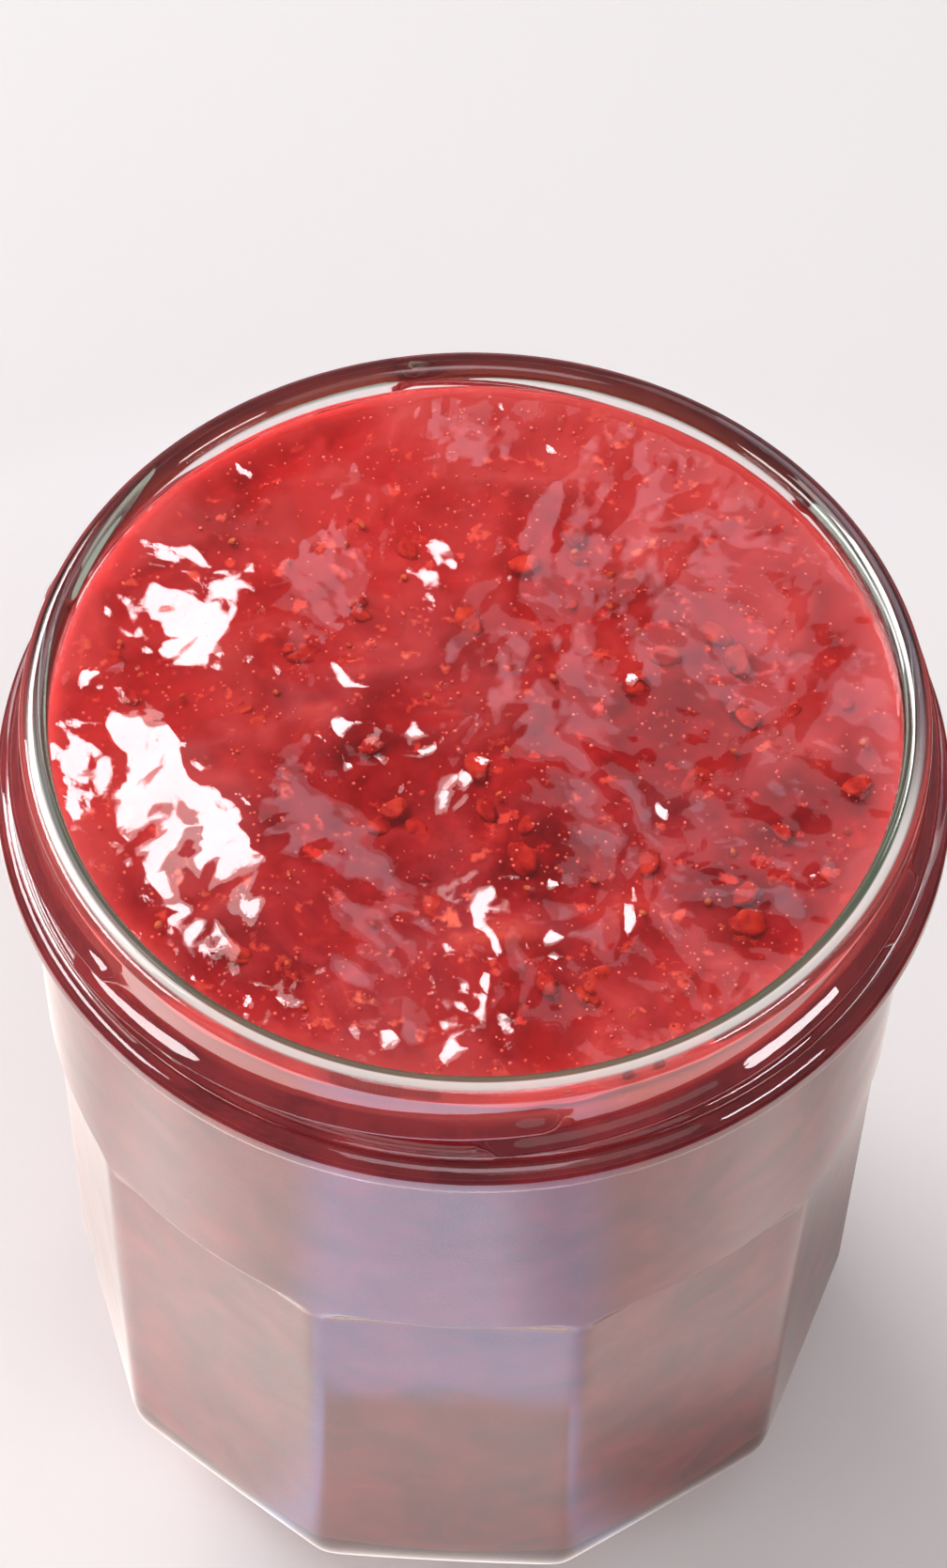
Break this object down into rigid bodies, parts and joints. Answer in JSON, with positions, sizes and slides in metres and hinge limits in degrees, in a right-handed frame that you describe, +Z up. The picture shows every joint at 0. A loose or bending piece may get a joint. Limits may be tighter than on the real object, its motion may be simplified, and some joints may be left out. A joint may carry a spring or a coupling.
{
  "type": "jam jar",
  "caption": "Open facetted glass jar with a screw finish, filled with red fruit jam to just under its lip.",
  "frame": {"origin": "centre of the flat ring that the jar stands on, on the jar's axis", "axes": "+Z up along the jar's axis; -Y faces the middle of one facet"},
  "size_m": [0.0848, 0.0848, 0.098],
  "materials": {
    "glass": "clear, smooth and glossy",
    "jam": "wet, glossy and translucent, with pulp and seeds"
  },
  "bodies": {
    "root": {"jar": "glass", "jam": "jam"}
  },
  "joints": []
}
